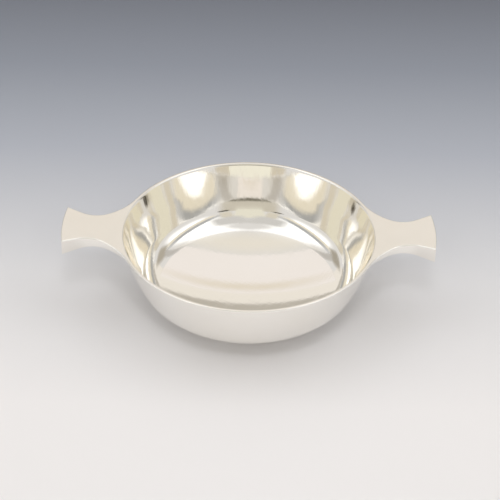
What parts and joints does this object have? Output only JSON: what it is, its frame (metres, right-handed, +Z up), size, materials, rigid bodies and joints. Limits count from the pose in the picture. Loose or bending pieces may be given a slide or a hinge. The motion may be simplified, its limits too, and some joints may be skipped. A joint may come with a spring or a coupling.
{
  "type": "quaich",
  "caption": "Shallow silver drinking bowl with a leaning wall, dished floor and low ring foot, held by flat waisted lugs level with its rim.",
  "frame": {"origin": "centre of the foot ring's resting face", "axes": "+Z up along the bowl's axis, +X along the lugs towards the right lug, +Y away from the viewer"},
  "size_m": [0.156, 0.108, 0.0394],
  "materials": {
    "silver": "hand-polished silver, faintly warm, with fine wear scratches"
  },
  "bodies": {
    "root": {"bowl": "silver", "foot_ring": "silver", "left_lug_plate": "silver", "left_lug_shell": "silver", "right_lug_plate": "silver", "right_lug_shell": "silver"}
  },
  "joints": []
}
